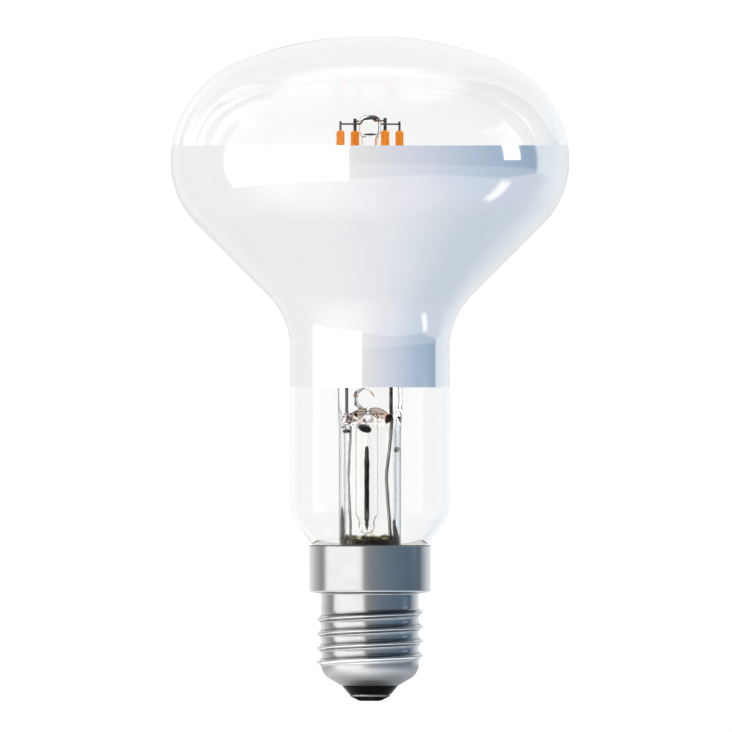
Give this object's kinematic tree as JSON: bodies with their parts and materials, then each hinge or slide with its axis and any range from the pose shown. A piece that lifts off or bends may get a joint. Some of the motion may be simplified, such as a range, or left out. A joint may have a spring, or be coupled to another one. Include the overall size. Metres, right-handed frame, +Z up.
{
  "type": "reflector bulb",
  "caption": "Clear glass reflector bulb with a mirrored middle band, upright LED filaments on a glass stem, and a small Edison screw cap.",
  "frame": {"origin": "middle of the centre contact's flat face, on the axis", "axes": "+Z up the axis from the cap to the crown of the glass, +X to the right as pictured, +Y away from the camera"},
  "size_m": [0.05, 0.05, 0.0834],
  "materials": {
    "clear_glass": "clear blown glass",
    "stem_glass": "clear lead glass",
    "mirror_film": "bright aluminium film",
    "phosphor": "orange phosphor silicone",
    "nickel_wire": "dull nickel",
    "seal_wire": "copper-clad seal wire",
    "tinned_wire": "tinned copper",
    "cap_metal": "bright drawn metal",
    "black_glass": "glossy black",
    "solder": "tinned",
    "adhesive": "off-white cured adhesive",
    "board": "dark green laminate",
    "moulded_black": "moulded",
    "capacitor_sleeve": "shrink sleeve",
    "resistor_body": "lacquered"
  },
  "bodies": {
    "root": {"glass_envelope": "clear_glass", "glass_stem": "stem_glass", "mirror_coating": "mirror_film", "cap_shell": "cap_metal", "cap_insulator": "black_glass", "centre_contact": "solder", "capping_adhesive": "adhesive", "driver_board": "board", "bridge_rectifier": "moulded_black", "driver_chip": "moulded_black", "smoothing_capacitor": "capacitor_sleeve", "fuse_resistor": "resistor_body", "lower_bridge_wire": "nickel_wire", "upper_bridge_wire": "nickel_wire", "left_fork_wire": "nickel_wire", "right_fork_wire": "nickel_wire", "left_inner_lead": "nickel_wire", "right_inner_lead": "nickel_wire", "left_seal_wire": "seal_wire", "right_seal_wire": "seal_wire", "left_outer_lead": "tinned_wire", "right_outer_lead": "tinned_wire", "contact_lead": "tinned_wire", "shell_lead": "tinned_wire", "filament_1": "phosphor", "upper_tab_1": "nickel_wire", "lower_tab_1": "nickel_wire", "filament_2": "phosphor", "upper_tab_2": "nickel_wire", "lower_tab_2": "nickel_wire", "filament_3": "phosphor", "upper_tab_3": "nickel_wire", "lower_tab_3": "nickel_wire", "filament_4": "phosphor", "upper_tab_4": "nickel_wire", "lower_tab_4": "nickel_wire"}
  },
  "joints": []
}
